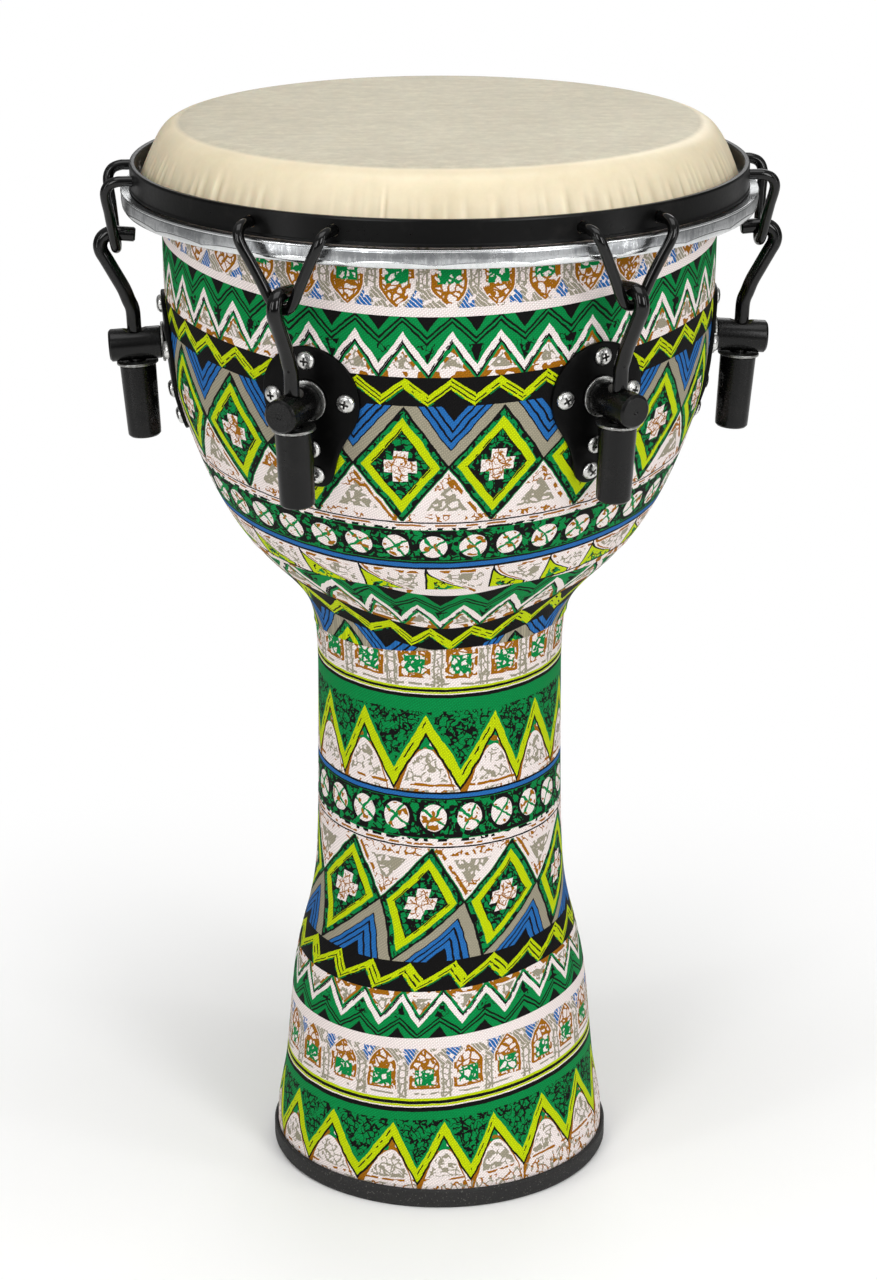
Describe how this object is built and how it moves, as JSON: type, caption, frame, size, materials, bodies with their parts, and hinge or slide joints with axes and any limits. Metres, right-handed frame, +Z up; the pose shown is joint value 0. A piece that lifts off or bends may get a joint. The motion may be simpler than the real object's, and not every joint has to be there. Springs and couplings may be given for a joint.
{
  "type": "djembe",
  "caption": "Goblet hand drum with cloth-covered shell, rolled-collar head, steel counterhoop and key-tuned hook-and-clip lugs.",
  "frame": {"origin": "centre of the foot ring's underside, on the floor", "axes": "+Z up along the drum's axis, from the foot to the head; -Y is the front, midway between the two front lugs; +X is the drum's right-hand lug"},
  "size_m": [0.3784, 0.3472, 0.611],
  "materials": {
    "shell": "matte dark moulded shell, seen only from inside",
    "bowl_cloth": "printed cotton, woven, matte, green with white, lime, black, blue and ochre bands",
    "stem_cloth": "printed cotton, woven, matte, green with white, lime, black, blue and ochre bands",
    "foot_rubber": "matte black, fine moulded grain",
    "head_film": "cream film, mottled flat zone, smooth satin collar",
    "polished_aluminium": "polished, crimped edge",
    "black_hoop": "black powder coat, satin, faint orange peel",
    "black_hardware": "black powder coat, satin",
    "zinc": "bright zinc plate"
  },
  "bodies": {
    "drum": {"shell": "shell", "bowl_cover": "bowl_cloth", "neck_cover": "bowl_cloth", "stem_cover": "stem_cloth", "foot_ring": "foot_rubber", "head_skin": "head_film", "lug_plate_right": "black_hardware", "lug_screws_right": "zinc", "lug_post_right": "black_hardware", "post_washer_right": "zinc", "nut_washer_right": "zinc", "lug_plate_back_right": "black_hardware", "lug_screws_back_right": "zinc", "lug_post_back_right": "black_hardware", "post_washer_back_right": "zinc", "nut_washer_back_right": "zinc", "lug_plate_back_left": "black_hardware", "lug_screws_back_left": "zinc", "lug_post_back_left": "black_hardware", "post_washer_back_left": "zinc", "nut_washer_back_left": "zinc", "lug_plate_left": "black_hardware", "lug_screws_left": "zinc", "lug_post_left": "black_hardware", "post_washer_left": "zinc", "nut_washer_left": "zinc", "lug_plate_front_left": "black_hardware", "lug_screws_front_left": "zinc", "lug_post_front_left": "black_hardware", "post_washer_front_left": "zinc", "nut_washer_front_left": "zinc", "lug_plate_front_right": "black_hardware", "lug_screws_front_right": "zinc", "lug_post_front_right": "black_hardware", "post_washer_front_right": "zinc", "nut_washer_front_right": "zinc"},
    "rim": {"flesh_hoop": "polished_aluminium", "counterhoop": "black_hoop"},
    "nut_front_right": {"tuning_nut_front_right": "black_hardware"},
    "nut_right": {"tuning_nut_right": "black_hardware"},
    "nut_back_right": {"tuning_nut_back_right": "black_hardware"},
    "nut_back_left": {"tuning_nut_back_left": "black_hardware"},
    "nut_left": {"tuning_nut_left": "black_hardware"},
    "nut_front_left": {"tuning_nut_front_left": "black_hardware"},
    "hook_front_right": {"tension_hook_front_right": "black_hardware"},
    "hook_right": {"tension_hook_right": "black_hardware"},
    "hook_back_right": {"tension_hook_back_right": "black_hardware"},
    "hook_back_left": {"tension_hook_back_left": "black_hardware"},
    "hook_left": {"tension_hook_left": "black_hardware"},
    "hook_front_left": {"tension_hook_front_left": "black_hardware"},
    "clip_front_right": {"v_clip_front_right": "black_hardware"},
    "clip_right": {"v_clip_right": "black_hardware"},
    "clip_back_right": {"v_clip_back_right": "black_hardware"},
    "clip_back_left": {"v_clip_back_left": "black_hardware"},
    "clip_left": {"v_clip_left": "black_hardware"},
    "clip_front_left": {"v_clip_front_left": "black_hardware"}
  },
  "joints": [
    {"name": "rim_slide", "type": "slide", "parent": "drum", "child": "rim", "axis": [0, 0, -1], "range_m": [-0.003, 0.004]},
    {"name": "nut_spin_front_right", "type": "hinge", "parent": "drum", "child": "nut_front_right", "pos_m": [0.0828, -0.14342, 0.45757], "axis": [0.0349, -0.0604, 0.9976], "range_deg": [-867, 1156]},
    {"name": "nut_spin_right", "type": "hinge", "parent": "drum", "child": "nut_right", "pos_m": [0.16561, 0, 0.45757], "axis": [0.0698, 0, 0.9976], "range_deg": [-867, 1156]},
    {"name": "nut_spin_back_right", "type": "hinge", "parent": "drum", "child": "nut_back_right", "pos_m": [0.0828, 0.14342, 0.45757], "axis": [0.0349, 0.0604, 0.9976], "range_deg": [-867, 1156]},
    {"name": "nut_spin_back_left", "type": "hinge", "parent": "drum", "child": "nut_back_left", "pos_m": [-0.0828, 0.14342, 0.45757], "axis": [-0.0349, 0.0604, 0.9976], "range_deg": [-867, 1156]},
    {"name": "nut_spin_left", "type": "hinge", "parent": "drum", "child": "nut_left", "pos_m": [-0.16561, 0, 0.45757], "axis": [-0.0698, 0, 0.9976], "range_deg": [-867, 1156]},
    {"name": "nut_spin_front_left", "type": "hinge", "parent": "drum", "child": "nut_front_left", "pos_m": [-0.0828, -0.14342, 0.45757], "axis": [-0.0349, -0.0604, 0.9976], "range_deg": [-867, 1156]},
    {"name": "hook_slide_front_right", "type": "slide", "parent": "drum", "child": "hook_front_right", "axis": [-0.0349, 0.0604, -0.9976], "range_m": [-0.00302, 0.00402]},
    {"name": "hook_slide_right", "type": "slide", "parent": "drum", "child": "hook_right", "axis": [-0.0698, 0, -0.9976], "range_m": [-0.00302, 0.00402]},
    {"name": "hook_slide_back_right", "type": "slide", "parent": "drum", "child": "hook_back_right", "axis": [-0.0349, -0.0604, -0.9976], "range_m": [-0.00302, 0.00402]},
    {"name": "hook_slide_back_left", "type": "slide", "parent": "drum", "child": "hook_back_left", "axis": [0.0349, -0.0604, -0.9976], "range_m": [-0.00302, 0.00402]},
    {"name": "hook_slide_left", "type": "slide", "parent": "drum", "child": "hook_left", "axis": [0.0698, 0, -0.9976], "range_m": [-0.00302, 0.00402]},
    {"name": "hook_slide_front_left", "type": "slide", "parent": "drum", "child": "hook_front_left", "axis": [0.0349, 0.0604, -0.9976], "range_m": [-0.00302, 0.00402]},
    {"name": "clip_swing_front_right", "type": "hinge", "parent": "rim", "child": "clip_front_right", "pos_m": [0.0835, -0.14463, 0.5824], "axis": [0.866, 0.5, 0], "range_deg": [-0.6, 4]},
    {"name": "clip_swing_right", "type": "hinge", "parent": "rim", "child": "clip_right", "pos_m": [0.167, 0, 0.5824], "axis": [0, 1, 0], "range_deg": [-0.6, 4]},
    {"name": "clip_swing_back_right", "type": "hinge", "parent": "rim", "child": "clip_back_right", "pos_m": [0.0835, 0.14463, 0.5824], "axis": [-0.866, 0.5, 0], "range_deg": [-0.6, 4]},
    {"name": "clip_swing_back_left", "type": "hinge", "parent": "rim", "child": "clip_back_left", "pos_m": [-0.0835, 0.14463, 0.5824], "axis": [-0.866, -0.5, 0], "range_deg": [-0.6, 4]},
    {"name": "clip_swing_left", "type": "hinge", "parent": "rim", "child": "clip_left", "pos_m": [-0.167, 0, 0.5824], "axis": [0, -1, 0], "range_deg": [-0.6, 4]},
    {"name": "clip_swing_front_left", "type": "hinge", "parent": "rim", "child": "clip_front_left", "pos_m": [-0.0835, -0.14463, 0.5824], "axis": [0.866, -0.5, 0], "range_deg": [-0.6, 4]}
  ],
  "couplings": [
    {"joint": "nut_spin_front_right", "follows": "rim_slide", "rad_per_m": 5038.8},
    {"joint": "nut_spin_right", "follows": "rim_slide", "rad_per_m": 5038.8},
    {"joint": "nut_spin_back_right", "follows": "rim_slide", "rad_per_m": 5038.8},
    {"joint": "nut_spin_back_left", "follows": "rim_slide", "rad_per_m": 5038.8},
    {"joint": "nut_spin_left", "follows": "rim_slide", "rad_per_m": 5038.8},
    {"joint": "nut_spin_front_left", "follows": "rim_slide", "rad_per_m": 5038.8},
    {"joint": "hook_slide_front_right", "follows": "rim_slide", "ratio": 1.0024},
    {"joint": "hook_slide_right", "follows": "rim_slide", "ratio": 1.0024},
    {"joint": "hook_slide_back_right", "follows": "rim_slide", "ratio": 1.0024},
    {"joint": "hook_slide_back_left", "follows": "rim_slide", "ratio": 1.0024},
    {"joint": "hook_slide_left", "follows": "rim_slide", "ratio": 1.0024},
    {"joint": "hook_slide_front_left", "follows": "rim_slide", "ratio": 1.0024}
  ]
}
